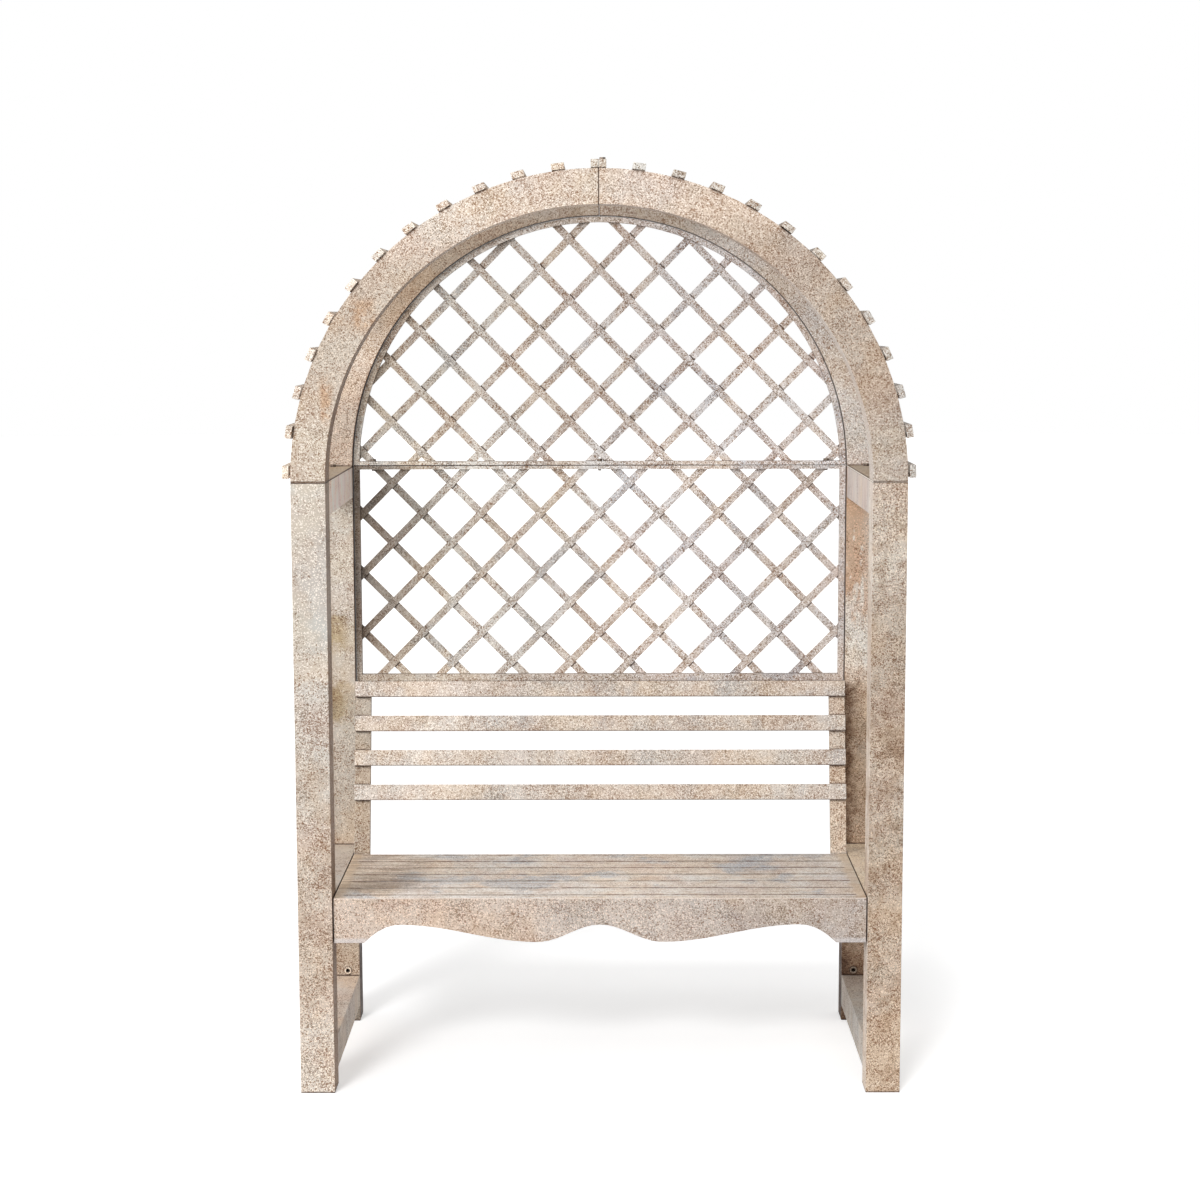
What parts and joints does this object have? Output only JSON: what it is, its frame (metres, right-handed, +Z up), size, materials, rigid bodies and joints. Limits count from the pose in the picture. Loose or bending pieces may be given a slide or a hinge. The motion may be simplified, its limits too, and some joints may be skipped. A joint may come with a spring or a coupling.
{
  "type": "garden arbour bench",
  "caption": "Free-standing metal garden arbour: round trellis arch on square posts with a slatted bench seat, scalloped apron and raked back.",
  "frame": {"origin": "on the ground, in the middle of the footprint", "axes": "+Z up, -Y out of the open front towards the person using the bench, +X to the right seen from the front"},
  "size_m": [1.3848, 0.666, 2.0878],
  "materials": {
    "post_zinc": "weathered speckled zinc, warm grey beige",
    "rail_zinc": "smoother weathered zinc with brushed streaks",
    "arch_zinc": "weathered speckled zinc with ochre clouds",
    "batten_zinc": "weathered speckled zinc",
    "trellis_zinc": "weathered zinc with bluish grey patches",
    "seat_zinc": "weathered zinc worn to grey with ochre edges",
    "slat_zinc": "weathered speckled zinc",
    "bolt_steel": "dulled dark steel"
  },
  "bodies": {
    "root": {"post_front_left": "post_zinc", "post_front_right": "post_zinc", "post_back_left": "post_zinc", "post_back_right": "post_zinc", "top_rail_left": "rail_zinc", "top_rail_right": "rail_zinc", "seat_rail_left": "rail_zinc", "seat_rail_right": "rail_zinc", "stretcher_left": "rail_zinc", "stretcher_right": "rail_zinc", "arch_base_plate_left": "rail_zinc", "arch_base_plate_right": "rail_zinc", "arch_front_left": "arch_zinc", "arch_front_right": "arch_zinc", "arch_back_left": "arch_zinc", "arch_back_right": "arch_zinc", "batten_left_01": "batten_zinc", "batten_left_02": "batten_zinc", "batten_left_03": "batten_zinc", "batten_left_04": "batten_zinc", "batten_left_05": "batten_zinc", "batten_left_06": "batten_zinc", "batten_left_07": "batten_zinc", "batten_left_08": "batten_zinc", "batten_left_09": "batten_zinc", "batten_left_10": "batten_zinc", "batten_left_11": "batten_zinc", "batten_left_12": "batten_zinc", "crown_batten_left": "batten_zinc", "batten_right_01": "batten_zinc", "batten_right_02": "batten_zinc", "batten_right_03": "batten_zinc", "batten_right_04": "batten_zinc", "batten_right_05": "batten_zinc", "batten_right_06": "batten_zinc", "batten_right_07": "batten_zinc", "batten_right_08": "batten_zinc", "batten_right_09": "batten_zinc", "batten_right_10": "batten_zinc", "batten_right_11": "batten_zinc", "batten_right_12": "batten_zinc", "crown_batten_right": "batten_zinc", "trellis_upper": "trellis_zinc", "trellis_lower": "trellis_zinc", "seat_panel": "seat_zinc", "apron": "post_zinc", "back_stile_left": "post_zinc", "back_stile_right": "post_zinc", "back_slat_1": "slat_zinc", "back_slat_2": "slat_zinc", "back_slat_3": "slat_zinc", "back_slat_4": "slat_zinc", "trellis_bolt_left": "bolt_steel", "trellis_bolt_middle": "bolt_steel", "trellis_bolt_right": "bolt_steel", "arch_bolt_left": "bolt_steel", "leg_bushing_left": "bolt_steel", "arch_bolt_right": "bolt_steel", "leg_bushing_right": "bolt_steel", "crown_bolt": "bolt_steel"}
  },
  "joints": []
}
